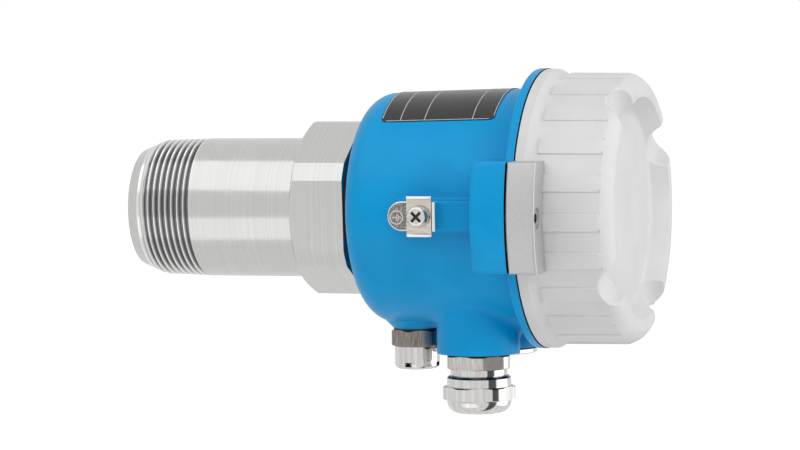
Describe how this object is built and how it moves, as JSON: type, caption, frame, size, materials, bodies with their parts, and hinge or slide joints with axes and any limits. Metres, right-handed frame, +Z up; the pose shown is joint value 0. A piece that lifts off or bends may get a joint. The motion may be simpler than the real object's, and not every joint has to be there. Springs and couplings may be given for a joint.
{
  "type": "microwave barrier",
  "caption": "Microwave barrier head: threaded steel barrel with a radar window, hexagon, blue cast housing with ribbed grey screw cover, cover clamp, cable gland, vent and earth terminal.",
  "frame": {"origin": "on the device's axis, at the shoulder where the smooth barrel meets the hexagon", "axes": "+X along the device's axis from the window to the cover, -X the way the microwaves leave, +Z up with the cable entries facing down, -Y towards the earth terminal and the cover clamp"},
  "size_m": [0.18, 0.1048, 0.117],
  "materials": {
    "stainless": "turned and milled stainless steel, satin",
    "earth_plate_steel": "pressed stainless steel sheet",
    "window_plastic": "off-white fluoropolymer",
    "rubber": "black sealing rubber",
    "horn_aluminium": "turned aluminium",
    "lead_plastic": "black cable jacket",
    "housing_blue": "die-cast aluminium with a satin blue coating",
    "cover_grey": "die-cast aluminium with a satin light grey coating",
    "clamp_silver": "blasted die-cast metal",
    "plate_black": "black film plate",
    "nickel": "nickel-plated brass",
    "filter_cloth": "white membrane cloth",
    "slip_plastic": "natural nylon",
    "insert_plastic": "dark grey moulded plastic",
    "terminal_green": "green moulded plastic",
    "terminal_brass": "plated brass",
    "adjuster_plastic": "light grey plastic",
    "switch_black": "black plastic",
    "slider_white": "white plastic",
    "lamp_green": "clear green lens"
  },
  "bodies": {
    "housing_body": {"process_connection": "stainless", "window": "window_plastic", "window_seal": "rubber", "antenna_horn": "horn_aluminium", "microwave_module": "horn_aluminium", "module_spacer": "window_plastic", "retaining_clip": "stainless", "module_lead": "lead_plastic", "neck_gasket": "rubber", "lock_nut": "stainless", "housing": "housing_blue", "name_plate": "plate_black", "earth_plate": "earth_plate_steel", "earth_saddle": "stainless", "earth_washer": "stainless", "earth_screw": "stainless", "vent_gasket": "rubber", "vent_body": "nickel", "vent_membrane": "filter_cloth", "vent_cap": "nickel", "gland_gasket": "rubber", "gland_body": "nickel", "gland_insert": "rubber", "plug_gasket": "rubber", "blind_plug": "nickel", "electronics_insert": "insert_plastic", "insert_screws": "stainless", "terminal_block": "terminal_green", "terminal_screws": "terminal_brass", "switch_case": "switch_black", "status_lamp": "lamp_green", "inner_earth_washer": "stainless", "inner_earth_screw": "stainless"},
    "cover_stage": {"cover_seal": "rubber"},
    "cover_body": {"cover": "cover_grey"},
    "clamp_body": {"cover_clamp": "clamp_silver", "clamp_screw": "stainless"},
    "gland_stage": {"gland_slip_ring": "slip_plastic"},
    "gland_nut_body": {"gland_nut": "nickel"},
    "sensitivity_body": {"sensitivity_adjuster": "adjuster_plastic"},
    "delay_body": {"delay_adjuster": "adjuster_plastic"},
    "range_switch_body": {"range_slider": "slider_white"},
    "delay_switch_body": {"delay_slider": "slider_white"}
  },
  "joints": [
    {"name": "cover_travel", "type": "slide", "parent": "housing_body", "child": "cover_stage", "axis": [1, 0, 0], "range_m": [0, 0.008]},
    {"name": "cover_turn", "type": "hinge", "parent": "cover_stage", "child": "cover_body", "pos_m": [0.0853, 0, 0], "axis": [1, 0, 0], "range_deg": [0, 1920]},
    {"name": "clamp_release", "type": "slide", "parent": "cover_stage", "child": "clamp_body", "axis": [1, 0, 0], "range_m": [0, 0.01]},
    {"name": "gland_travel", "type": "slide", "parent": "housing_body", "child": "gland_stage", "axis": [0, 0, -1], "range_m": [0, 0.005]},
    {"name": "gland_turn", "type": "hinge", "parent": "gland_stage", "child": "gland_nut_body", "pos_m": [0.0626, -0.0124, -0.0563], "axis": [0, 0, -1], "range_deg": [0, 1200]},
    {"name": "sensitivity_turn", "type": "hinge", "parent": "housing_body", "child": "sensitivity_body", "pos_m": [0.0513, -0.007, 0.014], "axis": [1, 0, 0], "range_deg": [-135, 135]},
    {"name": "delay_turn", "type": "hinge", "parent": "housing_body", "child": "delay_body", "pos_m": [0.0513, 0.007, 0.014], "axis": [1, 0, 0], "range_deg": [-135, 135]},
    {"name": "range_switch_slide", "type": "slide", "parent": "housing_body", "child": "range_switch_body", "axis": [0, 0, 1], "range_m": [0, 0.002]},
    {"name": "delay_switch_slide", "type": "slide", "parent": "housing_body", "child": "delay_switch_body", "axis": [0, 0, 1], "range_m": [0, 0.002]}
  ],
  "couplings": [
    {"joint": "cover_travel", "follows": "cover_turn", "m_per_rad": 0.00023873},
    {"joint": "gland_travel", "follows": "gland_turn", "m_per_rad": 0.00023873}
  ]
}
